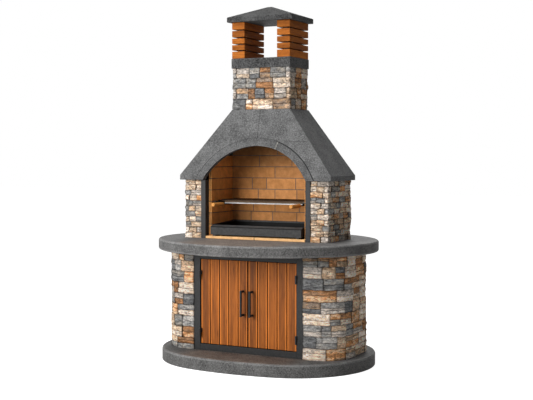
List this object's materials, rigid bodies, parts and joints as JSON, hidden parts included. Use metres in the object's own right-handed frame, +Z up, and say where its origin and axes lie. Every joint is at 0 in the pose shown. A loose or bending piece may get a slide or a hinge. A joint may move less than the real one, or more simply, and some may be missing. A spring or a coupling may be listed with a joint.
{
  "type": "stone garden barbecue",
  "caption": "Free-standing masonry barbecue: oval slabs, stone-clad cupboard with plank doors, brick firebox with sliding grill and tray, arched hood and chimney.",
  "frame": {"origin": "middle of the plinth's underside, on the ground", "axes": "+Z up, -Y to the front with the doors and the firebox mouth, +X to the right seen from the front"},
  "size_m": [1.664, 1.424, 2.596],
  "materials": {
    "slab_stone": "matte",
    "cladding_stone": "matte",
    "hood_stone": "matte",
    "masonry": "matte",
    "firebrick": "matte",
    "hearth_tile": "matte",
    "door_teak": "satin",
    "slat_timber": "satin",
    "grip_wood": "satin",
    "frame_steel": "satin",
    "post_steel": "satin",
    "hinge_steel": "satin",
    "pin_steel": "satin",
    "tray_steel": "satin",
    "grate_iron": "matte",
    "grill_steel": "satin"
  },
  "bodies": {
    "barbecue": {"plinth_slab": "slab_stone", "worktop_slab": "slab_stone", "left_base_stones": "cladding_stone", "right_base_stones": "cladding_stone", "left_pillar_stones": "cladding_stone", "right_pillar_stones": "cladding_stone", "chimney_stones": "cladding_stone", "hood_front_left": "hood_stone", "hood_front_right": "hood_stone", "hood_left_side": "hood_stone", "hood_right_side": "hood_stone", "hood_back": "hood_stone", "arch_ring_crown": "hood_stone", "arch_ring_left": "hood_stone", "arch_ring_right": "hood_stone", "chimney_collar": "hood_stone", "chimney_cap": "hood_stone", "left_cabinet_wall": "masonry", "right_cabinet_wall": "masonry", "cabinet_back_wall": "masonry", "left_pillar_core": "masonry", "right_pillar_core": "masonry", "firebox_back_panel": "masonry", "chimney_flue": "masonry", "back_firebricks": "firebrick", "left_firebricks": "firebrick", "right_firebricks": "firebrick", "hearth_tiles": "hearth_tile", "left_chimney_slats": "slat_timber", "right_chimney_slats": "slat_timber", "left_frame_jamb": "frame_steel", "right_frame_jamb": "frame_steel", "frame_head": "frame_steel", "frame_sill": "frame_steel", "door_catch": "frame_steel", "left_post": "post_steel", "right_post": "post_steel", "left_frame_hinges": "hinge_steel", "right_frame_hinges": "hinge_steel", "left_hinge_pins": "pin_steel", "right_hinge_pins": "pin_steel", "left_grill_rail": "pin_steel", "right_grill_rail": "pin_steel", "slat_spacers": "tray_steel"},
    "left_door": {"left_door_boards": "door_teak", "left_door_ledges": "door_teak", "left_door_hinges": "hinge_steel", "left_door_handle": "frame_steel"},
    "right_door": {"right_door_boards": "door_teak", "right_door_ledges": "door_teak", "right_door_hinges": "hinge_steel", "right_door_handle": "frame_steel"},
    "grill": {"grill_frame": "grill_steel", "grill_bars": "grill_steel", "grill_tangs": "grill_steel", "left_grill_grip": "grip_wood", "right_grill_grip": "grip_wood"},
    "tray": {"charcoal_tray": "tray_steel", "charcoal_grate": "grate_iron"}
  },
  "joints": [
    {"name": "left_door_swing", "type": "hinge", "parent": "barbecue", "child": "left_door", "pos_m": [-0.3865, -0.3255, 0.4335], "axis": [0, 0, -1], "range_deg": [0, 110]},
    {"name": "right_door_swing", "type": "hinge", "parent": "barbecue", "child": "right_door", "pos_m": [0.3865, -0.3255, 0.4335], "axis": [0, 0, 1], "range_deg": [0, 110]},
    {"name": "grill_slide", "type": "slide", "parent": "barbecue", "child": "grill", "axis": [0, -1, 0], "range_m": [0, 0.26]},
    {"name": "tray_slide", "type": "slide", "parent": "barbecue", "child": "tray", "axis": [0, -1, 0], "range_m": [0, 0.3]}
  ]
}
